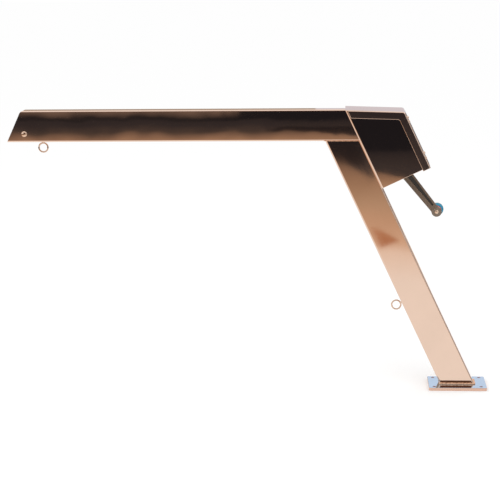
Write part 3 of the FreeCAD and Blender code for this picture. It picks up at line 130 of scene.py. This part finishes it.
def glowing_by(name, stops, coordinate):
    """A card's material: light whose colour follows a distance, with the stops given in metres."""
    material = bpy.data.materials.new(name)
    material.use_nodes = True
    tree = material.node_tree
    tree.nodes.clear()
    place = tree.nodes.new("ShaderNodeTexCoord")
    reach = stops[-1][0]
    ramp = tree.nodes.new("ShaderNodeValToRGB")
    while len(ramp.color_ramp.elements) < len(stops):
        ramp.color_ramp.elements.new(0.5)
    for element, (distance, colour) in zip(ramp.color_ramp.elements, stops):
        element.position = distance / reach
        element.color = (*colour, 1)
    if coordinate == "radius":
        measure = tree.nodes.new("ShaderNodeVectorMath")
        measure.operation = "LENGTH"
        tree.links.new(place.outputs["Object"], measure.inputs[0])
        distance_out = measure.outputs["Value"]
    else:
        measure = tree.nodes.new("ShaderNodeSeparateXYZ")
        tree.links.new(place.outputs["Object"], measure.inputs[0])
        distance_out = measure.outputs[coordinate]
    share = tree.nodes.new("ShaderNodeMath")
    share.operation = "DIVIDE"
    share.inputs[1].default_value = reach
    tree.links.new(distance_out, share.inputs[0])
    tree.links.new(share.outputs[0], ramp.inputs["Fac"])
    glow = tree.nodes.new("ShaderNodeEmission")
    tree.links.new(ramp.outputs["Color"], glow.inputs["Color"])
    out = tree.nodes.new("ShaderNodeOutputMaterial")
    tree.links.new(glow.outputs[0], out.inputs["Surface"])
    return material


GROUND_RADIUS = 30
GROUND_SIDES = 96
GROUND_MIDDLE = (-0.25, 0, 0)
GROUND_STOPS = [(0.0, (1.0, 1.0, 1.0)), (1.7, (1.0, 0.98, 0.96)), (2.35, (0.93, 0.82, 0.74)),
                (2.55, (0.76, 0.57, 0.43)), (3.2, (0.64, 0.45, 0.32)), (3.7, (0.54, 0.40, 0.285)),
                (4.6, (0.39, 0.265, 0.18)), (5.2, (0.29, 0.195, 0.14)), (6.3, (0.07, 0.057, 0.053)),
                (8.0, (0.038, 0.034, 0.038)), (GROUND_RADIUS, (0.020, 0.019, 0.022))]
bpy.ops.mesh.primitive_circle_add(vertices=GROUND_SIDES, radius=GROUND_RADIUS, fill_type="NGON",
                                  location=GROUND_MIDDLE)
ground_card = bpy.context.object
ground_card.name = "ground_card"
ground_card.data.materials.append(glowing_by("ground_glow", GROUND_STOPS, "radius"))
only_in_reflections(ground_card)


def card_through(name, corners, stops, coordinate):
    """A card through the given corners, its light following the stops."""
    outline = bpy.data.meshes.new(name)
    outline.from_pydata(corners, [], [range(len(corners))])
    card = bpy.data.objects.new(name, outline)
    scene.collection.objects.link(card)
    outline.materials.append(glowing_by(name + "_glow", stops, coordinate))
    only_in_reflections(card)


def mat(name, height, outline, stops):
    """A card on the ground whose light follows the distance from the deck plate."""
    card_through(name, [(x, y, height) for x, y in outline], stops, "radius")


def wall(name, start, end, stops):
    """An upright card between two places on the ground, its light following the height."""
    top = stops[-1][0]
    card_through(name, [(*start, 0), (*end, 0), (*end, top), (*start, top)], stops, "Z")


MAT_HEIGHT = 0.001
DARK_MAT = [(-1.00, -6.60), (-0.50, -5.80), (-0.22, -4.66), (-0.20, -5.71), (-0.02, -4.87),
            (0.06, -4.50), (1.60, -4.50), (1.60, -9.90), (-1.00, -9.90)]
DARK_MAT_NEAR = (0.055, 0.050, 0.053)
mat("dark_mat", MAT_HEIGHT, DARK_MAT,
    [(0.0, DARK_MAT_NEAR), (5.0, DARK_MAT_NEAR), (7.5, (0.042, 0.037, 0.039)),
     (9.9, (0.028, 0.026, 0.030))])
DARK_STRIP = [(-1.00, -6.20), (-0.26, -5.30), (-0.26, -7.20), (-1.00, -7.20)]
STRIP_BLACK = (0.020, 0.018, 0.021)
mat("dark_strip", 2 * MAT_HEIGHT, DARK_STRIP, [(0.0, STRIP_BLACK), (9.0, STRIP_BLACK)])
# An orange glowing card seen only in reflections: it paints an orange patch into the reflections on the
# polished metal.
ORANGE_CARD_OUTLINE = [(-0.24, -3.0), (-0.11, -2.64), (-0.21, -2.43)]
ORANGE_GLOW = (0.50, 0.23, 0.12)
mat("orange_glow_card", MAT_HEIGHT, ORANGE_CARD_OUTLINE, [(0.0, ORANGE_GLOW), (4.0, ORANGE_GLOW)])

WALL_DARK = (0.014, 0.014, 0.018)
WALL_BROWN = (0.17, 0.075, 0.045)
SHELF_DARK = (0.02, 0.019, 0.022)
SHELF_BROWN = (0.21, 0.155, 0.125)
PINK_GREY = (0.69, 0.655, 0.70)
COOL_WHITE = (0.82, 0.87, 0.96)
WARM_GREY = (0.42, 0.33, 0.26)
RIGHT_GREY = (0.17, 0.125, 0.125)
wall("front_wall", (-5, -10), (4, -10),
     [(0, WALL_DARK), (1.3, WALL_DARK), (1.8, WALL_BROWN), (4.5, WALL_BROWN), (7.5, WALL_DARK)])
wall("front_shelf", (-3.6, -9.9), (-1.45, -9.9),
     [(0, SHELF_DARK), (0.15, SHELF_DARK), (0.6, SHELF_BROWN), (0.9, SHELF_BROWN),
      (1.15, WALL_DARK)])
wall("back_wall", (-0.7, 10), (9, 10),
     [(0, PINK_GREY), (2.2, PINK_GREY), (2.45, COOL_WHITE), (5, COOL_WHITE)])
wall("back_wall_left", (-12, 10), (-0.7, 10), [(0, WARM_GREY), (5, WARM_GREY)])
wall("right_wall", (10, -6.5), (10, 4), [(0, RIGHT_GREY), (6, RIGHT_GREY)])

# Polished tube: arm, post and the plate in the tip
# Box section with a mirror polish. The rolled faces are not quite flat, and fine polishing
# lines run along them, so what they mirror is a little wavy and soft. Their copper base colour is
# painted reflection of warm surroundings.
MM = 0.001


def new_group(name, inputs, outputs):
    """A shader node group: inputs as (name, kind, default), outputs as (name, kind)."""
    group = bpy.data.node_groups.new(name, "ShaderNodeTree")
    for label, kind, default in inputs:
        socket = group.interface.new_socket(label, in_out="INPUT", socket_type=f"NodeSocket{kind}")
        if default is not None:
            socket.default_value = default
    for label, kind in outputs:
        group.interface.new_socket(label, in_out="OUTPUT", socket_type=f"NodeSocket{kind}")
    return group, group.nodes.new("NodeGroupInput"), group.nodes.new("NodeGroupOutput")


def math_node(tree, operation, first, second):
    """A Math node; each side is a number or another node's output."""
    item = tree.nodes.new("ShaderNodeMath")
    item.operation = operation
    for socket, source in zip(item.inputs, (first, second)):
        if isinstance(source, bpy.types.NodeSocket):
            tree.links.new(source, socket)
        else:
            socket.default_value = source
    return item.outputs[0]


def noise_node(tree, group_in, detail):
    """Noise inside a group, at the place and scale that the group is given."""
    item = tree.nodes.new("ShaderNodeTexNoise")
    item.inputs["Detail"].default_value = detail
    tree.links.new(group_in.outputs["Vector"], item.inputs["Vector"])
    tree.links.new(group_in.outputs["Scale"], item.inputs["Scale"])
    return item.outputs["Fac"]


waves, waves_in, waves_out = new_group(
    "sheet_waves", [("Vector", "Vector", None), ("Scale", "Float", 5.0), ("Rise", "Float", 0.0002)],
    [("Height", "Float")])
wave_noise = noise_node(waves, waves_in, detail=1.5)
waves.links.new(math_node(waves, "MULTIPLY", wave_noise, waves_in.outputs["Rise"]),
                waves_out.inputs["Height"])

lines, lines_in, lines_out = new_group(
    "polishing_lines", [("Vector", "Vector", None), ("Scale", "Float", 60.0)],
    [("Mask", "Float")])
lines.links.new(noise_node(lines, lines_in, detail=4.0), lines_out.inputs["Mask"])

tone, tone_in, tone_out = new_group(
    "uneven_tone", [("Vector", "Vector", None), ("Scale", "Float", 9.0), ("Light", "Color", None),
                    ("Dark", "Color", None)], [("Colour", "Color")])
tone_mix = tone.nodes.new("ShaderNodeMix")
tone_mix.data_type = "RGBA"
tone.links.new(noise_node(tone, tone_in, detail=5.0), tone_mix.inputs["Factor"])
tone.links.new(tone_in.outputs["Light"], tone_mix.inputs["A"])
tone.links.new(tone_in.outputs["Dark"], tone_mix.inputs["B"])
tone.links.new(tone_mix.outputs["Result"], tone_out.inputs["Colour"])


def place_group(tree, group, vector, **values):
    item = tree.nodes.new("ShaderNodeGroup")
    item.node_tree = group
    tree.links.new(vector, item.inputs["Vector"])
    for name, number in values.items():
        item.inputs[name].default_value = number
    return item.outputs[0]


def finish(name, colour, roughness, metallic=1.0, spread=0.06, darker=0.9, wave_size=5.0,
           wave_rise=0.0, grain=60.0, grain_rise=0.0, stretch=(1, 1, 1), turn=0.0, crown=None):
    """A surface finish: uneven tone, a roughness that follows the grain, and a height.

    stretch pulls the grain out along an axis after turn about Y. crown is (direction across the
    face, its middle, rise): the face falls off from its middle by rise times the distance squared."""
    material = bpy.data.materials.new(name)
    material.use_nodes = True
    tree = material.node_tree
    shader = tree.nodes["Principled BSDF"]
    shader.inputs["Metallic"].default_value = metallic
    place = tree.nodes.new("ShaderNodeTexCoord").outputs["Object"]
    mapping = tree.nodes.new("ShaderNodeMapping")
    mapping.vector_type = "TEXTURE"
    mapping.inputs["Rotation"].default_value = (0, turn, 0)
    mapping.inputs["Scale"].default_value = stretch
    tree.links.new(place, mapping.inputs["Vector"])
    mask = place_group(tree, lines, mapping.outputs["Vector"], Scale=grain)
    dark = [channel * darker for channel in colour]
    tree.links.new(place_group(tree, tone, place, Light=(*colour, 1), Dark=(*dark, 1)),
                   shader.inputs["Base Color"])
    rough = math_node(tree, "MULTIPLY", mask, spread)
    tree.links.new(math_node(tree, "ADD", rough, roughness - spread / 2), shader.inputs["Roughness"])
    height = math_node(tree, "MULTIPLY", mask, grain_rise)
    if wave_rise:
        sheet_height = place_group(tree, waves, place, Scale=wave_size, Rise=wave_rise)
        height = math_node(tree, "ADD", height, sheet_height)
    if crown:
        direction, middle, rise = crown
        across = tree.nodes.new("ShaderNodeVectorMath")
        across.operation = "DOT_PRODUCT"
        across.inputs[1].default_value = direction
        tree.links.new(place, across.inputs[0])
        offset = math_node(tree, "SUBTRACT", across.outputs["Value"], middle)
        fall = math_node(tree, "MULTIPLY", math_node(tree, "MULTIPLY", offset, offset), -rise)
        height = math_node(tree, "ADD", height, fall)
    if grain_rise or wave_rise or crown:
        bump = tree.nodes.new("ShaderNodeBump")
        bump.inputs["Distance"].default_value = 1.0
        tree.links.new(height, bump.inputs["Height"])
        tree.links.new(bump.outputs["Normal"], shader.inputs["Normal"])
    return material


def select_only(piece):
    bpy.ops.object.select_all(action="DESELECT")
    piece.select_set(True)
    bpy.context.view_layer.objects.active = piece


SMOOTH_BEND = math.radians(32)


def smooth_piece(piece):
    """Smooth shading that leaves the flat faces flat."""
    select_only(piece)
    bpy.ops.object.shade_smooth_by_angle(angle=SMOOTH_BEND)
    weighting = piece.modifiers.new("even_faces", "WEIGHTED_NORMAL")
    weighting.keep_sharp = True
    weighting.weight = 100
    bpy.ops.object.modifier_apply(modifier=weighting.name)


def slot_of(node):
    return next(part["material_slot"] for part in frame["record"]["subparts"] if part["node"] == node)


def stand_in(piece, node):
    """The piece takes the node's body, and stands for it."""
    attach(piece, nodes[node]["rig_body"])
    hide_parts(node)
    return piece


RIM_DEPTH = 0.05 * MM
RIM_CORNER = math.radians(60)


def round_rims(piece, width):
    """Rounds over the sharp edges of the piece's two outermost faces, towards -Y and +Y."""
    mesh = piece.data
    side = max(abs(vertex.co.y) for vertex in mesh.vertices)
    normals_at = {}
    for face in mesh.polygons:
        for key in face.edge_keys:
            normals_at.setdefault(key, []).append(face.normal)
    bpy.context.tool_settings.mesh_select_mode = (False, True, False)
    bpy.ops.object.mode_set(mode="EDIT")
    bpy.ops.mesh.select_all(action="DESELECT")
    bpy.ops.object.mode_set(mode="OBJECT")
    for edge in mesh.edges:
        normals = normals_at[edge.key]
        inset = max(side - abs(mesh.vertices[corner].co.y) for corner in edge.vertices)
        edge.select = (inset < RIM_DEPTH and len(normals) == 2
                       and normals[0].angle(normals[1]) > RIM_CORNER)
    bpy.ops.object.mode_set(mode="EDIT")
    bpy.ops.mesh.bevel(offset=width, segments=2, affect="EDGES", clamp_overlap=False)
    bpy.ops.object.mode_set(mode="OBJECT")


MERGE = 0.002 * MM
FLAT = math.radians(0.2)


def polished_copy(node, material, rim=0.0):
    """The node's own shape with its triangles merged into whole faces and smooth bends.

    rim is the width that the edges of its two sides are rounded over."""
    piece = bpy.data.objects.new(node + "_finished", nodes[node].data.copy())
    scene.collection.objects.link(piece)
    select_only(piece)
    bpy.ops.object.mode_set(mode="EDIT")
    bpy.ops.mesh.select_all(action="SELECT")
    bpy.ops.mesh.remove_doubles(threshold=MERGE)
    bpy.ops.mesh.dissolve_limited(angle_limit=FLAT)
    bpy.ops.object.mode_set(mode="OBJECT")
    piece.data.materials.clear()
    piece.data.materials.append(material)
    if rim:
        round_rims(piece, rim)
    smooth_piece(piece)
    return stand_in(piece, node)


# Painted reflection: this copper base colour stands in for the warm surroundings mirrored by the
# polished steel.
WARM_REFLECTION_COPPER = (0.85, 0.635, 0.51)
LEAN = math.radians(25)
UPWARD = (0, 0, 1)
ARM_MIDDLE = 0.850
ARM_CROWN = 0.31
arm_finish = finish("arm_polish", WARM_REFLECTION_COPPER, 0.055, spread=0.03, wave_size=7.0, wave_rise=0.0012,
                    grain=90, stretch=(14, 1, 1), crown=(UPWARD, ARM_MIDDLE, ARM_CROWN))
post_finish = finish("post_polish", WARM_REFLECTION_COPPER, 0.05, spread=0.03, wave_size=5.0, wave_rise=0.0004,
                     grain=90, stretch=(1, 1, 14), turn=-LEAN)
polished_copy("arm_tube", arm_finish)
polished_copy("post_tube", post_finish)
polished_copy("tip_cap", arm_finish)

# Deck plate
# Thick steel plate with four bolt holes, welded under the post. It is polished on top until it
# mirrors the sky, and its cut edges are rounded over. The sky's blue is painted into the top's base
# colour as painted reflection, and the faces that don't face up get a warmer copper base colour, a
# painted reflection of the warm ground.
PLATE_PAINTED_SKY = (0.55, 0.67, 0.80)
EDGE_PAINTED_WARM = (0.76, 0.50, 0.39)
FACES_UP = 0.5
plate_finish = finish("plate_polish_sky_reflection", PLATE_PAINTED_SKY, 0.07, spread=0.03, wave_size=12,
                      wave_rise=0.0002, grain=160, stretch=(8, 1, 1))
edge_warm_reflection = finish("plate_edge", EDGE_PAINTED_WARM, 0.22, grain=120, stretch=(10, 10, 1))
plate = polished_copy("base_plate", plate_finish, rim=1.2 * MM)
plate.data.materials.append(edge_warm_reflection)
# Painted reflection: faces turned up keep the painted sky blue, the others get the painted warm colour.
for face in plate.data.polygons:
    if face.normal.z < FACES_UP:
        face.material_index = 1


# Welds at the foot and at the arm's seam
# Hand-laid beads, brushed over but not ground flat: each ripple is a drop that has fused with its
# neighbours, so the beads glitter where the faces round them are dark.
def round_trip(left, right, near, far, height, spacing):
    """Places along the four sides of a rectangle."""
    corners = [(left, near), (right, near), (right, far), (left, far)]
    spots = []
    for start, end in zip(corners, corners[1:] + corners[:1]):
        count = round(math.dist(start, end) / spacing)
        for step in range(count):
            share = step / count
            spots.append((start[0] + (end[0] - start[0]) * share,
                          start[1] + (end[1] - start[1]) * share, height))
    return spots


def rippled_bead(node, spots, radius, material):
    """Drops of slowly varying size at the spots, fused into one closed bead."""
    bpy.ops.object.select_all(action="DESELECT")
    bpy.ops.mesh.primitive_uv_sphere_add(segments=12, ring_count=8, radius=radius)
    drop = bpy.context.object
    drops = []
    for number, spot in enumerate(spots):
        ripple = bpy.data.objects.new("ripple", drop.data.copy())
        ripple.location = spot
        ripple.scale = [1 + 0.15 * math.sin(2.3 * number) + 0.1 * math.sin(0.9 * number)] * 3
        scene.collection.objects.link(ripple)
        drops.append(ripple)
    bpy.data.objects.remove(drop)
    for ripple in drops:
        ripple.select_set(True)
    bead = drops[0]
    bpy.context.view_layer.objects.active = bead
    bpy.ops.object.join()
    bpy.ops.object.transform_apply(location=True, rotation=True, scale=True)
    bead.name = node + "_bead"
    fusing = bead.modifiers.new("fused", "REMESH")
    fusing.mode = "VOXEL"
    fusing.voxel_size = radius / 6
    bpy.ops.object.modifier_apply(modifier=fusing.name)
    bpy.ops.object.shade_smooth()
    bead.data.materials.clear()
    bead.data.materials.append(material)
    return stand_in(bead, node)


# Painted highlight: the bright copper base colour is the painted warm reflection tint, made brighter so
# the beads' glints show.
WELD_GLINT_COPPER = (0.98, 0.60, 0.40)
weld_finish = finish("weld_bead", WELD_GLINT_COPPER, 0.12, spread=0.08, darker=0.7, grain=160,
                     grain_rise=0.05 * MM)
TUBE_HALF = 25 * MM
FOOT_HALF = 55.2 * MM
FOOT_BEAD = 3.4 * MM
FOOT_SPACING = 4.2 * MM
foot_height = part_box("base_plate")[1][2] + 1.5 * MM
rippled_bead("foot_weld", round_trip(-FOOT_HALF, FOOT_HALF, -TUBE_HALF, TUBE_HALF, foot_height,
                                     FOOT_SPACING), FOOT_BEAD, weld_finish)
SEAM_BEAD = 1.5 * MM
SEAM_SPACING = 2.6 * MM
SEAM_INSET = 1 * MM
seam_low, seam_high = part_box("arm_weld")
seam_height = (seam_low[2] + seam_high[2]) / 2
rippled_bead("arm_weld", round_trip(seam_low[0] + SEAM_INSET, seam_high[0] - SEAM_INSET, -TUBE_HALF,
                                    TUBE_HALF, seam_height, SEAM_SPACING), SEAM_BEAD, weld_finish)

# Winch case and its cover
# Bent sheet with the tube's polish: a channel bolted to the post together with the winch's frame,
# and a folded cover screwed over it. The bends and cut edges catch the light as copper lines.
SHEET_RIM = 1.0 * MM
CASE_MIDDLE = 0.685
CASE_CROWN = 0.13
# The case and cover take the same copper base colour, a painted reflection of warm surroundings.
case_finish = finish("case_polish", WARM_REFLECTION_COPPER, 0.05, spread=0.03, wave_size=4.5, wave_rise=0.0005,
                     grain=80, stretch=(1, 1, 12), turn=-LEAN,
                     crown=(UPWARD, CASE_MIDDLE, CASE_CROWN))
cover_finish = finish("cover_polish", WARM_REFLECTION_COPPER, 0.05, spread=0.03, wave_size=5, wave_rise=0.0004,
                      grain=80, stretch=(12, 1, 1))
polished_copy("winch_case", case_finish, rim=SHEET_RIM)
polished_copy("case_cover", cover_finish, rim=SHEET_RIM)

# Crank
# Forged arm between two bosses, left a little duller than the tubes, with a long recess in its
# plain side whose floor is painted dark as shade. A pin through the eye carries the plastic grip: a
# sleeve and a knob on the dark grip, their red and blue painted as colour fringes round its highlights.
FORGING_BROWN = (0.33, 0.285, 0.245)
# Painted shade: the recess floor is darkened where shade falls in the recess.
RECESS_PAINTED_SHADE = (0.10, 0.098, 0.095)
BOSS_BROWN = (0.42, 0.355, 0.29)
crank_finish = finish("crank_forging", FORGING_BROWN, 0.24, spread=0.12, grain=220,
                      grain_rise=0.04 * MM, wave_size=30, wave_rise=0.1 * MM)
recess_shade_finish = finish("crank_recess", RECESS_PAINTED_SHADE, 0.34, spread=0.1, grain=240,
                       grain_rise=0.05 * MM)
boss_finish = finish("crank_boss", BOSS_BROWN, 0.5, spread=0.1, grain=240)
CRANK_FACE = 79.0 * MM
LEVEL_STEP = 0.4 * MM
RECESS_REACH = 6 * MM
FACES_CAMERA = -0.9
crank = polished_copy("crank_arm", crank_finish)
crank.data.materials.append(recess_shade_finish)
crank.data.materials.append(boss_finish)
for face in crank.data.polygons:
    if face.normal.y < FACES_CAMERA:
        level = face.center.y - CRANK_FACE
        if LEVEL_STEP < level < RECESS_REACH:
            face.material_index = 1
        if level < -LEVEL_STEP:
            face.material_index = 2

# Painted highlight fringes: the sleeve's red and the knob's blue stand in for the colour fringes round
# the dark grip's highlights.
SLEEVE_RED_FRINGE = (0.50, 0.03, 0.015)
KNOB_CYAN_FRINGE = (0.0, 0.26, 0.42)
CAP_BLACK = (0.035, 0.05, 0.06)
sleeve_fringe_finish = finish("red_sleeve", SLEEVE_RED_FRINGE, 0.5, metallic=0, grain=300)
knob_fringe_finish = finish("blue_knob_fringe", KNOB_CYAN_FRINGE, 0.42, metallic=0, grain=240, grain_rise=0.03 * MM)
cap_finish = finish("cap_plastic", CAP_BLACK, 0.35, metallic=0, grain=240)
for node, material in (("grip_collar", sleeve_fringe_finish), ("grip", knob_fringe_finish), ("grip_cap", cap_finish)):
    material.node_tree.nodes["Principled BSDF"].inputs["Specular IOR Level"].default_value = 0.05
    polished_copy(node, material)

PIN_COPPER = (0.95, 0.73, 0.56)
HEAD_DEPTH = 2 * MM
HEAD_RADIUS = 6.2 * MM
pin_finish = finish("pin_head", PIN_COPPER, 0.45, grain=200)
grip_pin = polished_copy("grip_pin", boss_finish)
grip_pin.data.materials.append(pin_finish)
pin_near = min(vertex.co.y for vertex in grip_pin.data.vertices)
head = [vertex.co for vertex in grip_pin.data.vertices if vertex.co.y < pin_near + HEAD_DEPTH]
head_middle = sum(head, Vector()) / len(head)
for face in grip_pin.data.polygons:
    offset = face.center - head_middle
    if math.hypot(offset.x, offset.z) < HEAD_RADIUS:
        face.material_index = 1

# Inside of the winch, and the small steel pieces
# Zinc-plated frame and drum, oiled gear steel, turned bronze bushes and nylon rollers, bolted and
# pinned together in the case. Outside, the screws, nuts and rings of bent wire are polished.
BY_SLOT = {
    # Painted reflection: the copper base colours of the bright fasteners and wire rings stand in for
    # the warm surroundings their polish mirrors.
    "bright_fastener": finish("bright_fastener", (0.80, 0.58, 0.44), 0.16, grain=200),
    "zinc_plate": finish("zinc_plate", (0.62, 0.64, 0.66), 0.35, spread=0.15, darker=0.75, grain=140),
    "drum_steel": finish("drum_zinc", (0.60, 0.61, 0.62), 0.30, spread=0.15, darker=0.8, grain=120),
    "gear_steel": finish("gear_steel", (0.36, 0.36, 0.37), 0.30, spread=0.1, darker=0.7, grain=180),
    "bronze": finish("bush_bronze", (0.66, 0.48, 0.24), 0.28, grain=160),
    "brake_lining": finish("brake_lining", (0.16, 0.13, 0.11), 0.85, metallic=0, darker=0.6,
                           grain=400),
    "nylon": finish("roller_nylon", (0.86, 0.85, 0.80), 0.45, metallic=0, grain=200),
    "black_plastic": finish("black_plastic", (0.04, 0.05, 0.06), 0.4, metallic=0, grain=260),
    "ring_wire": finish("ring_wire", (0.80, 0.60, 0.47), 0.14, grain=200),
    "crank_metal": crank_finish,
}
for node in nodes:
    if not nodes[node].hide_render:
        polished_copy(node, BY_SLOT[slot_of(node)])
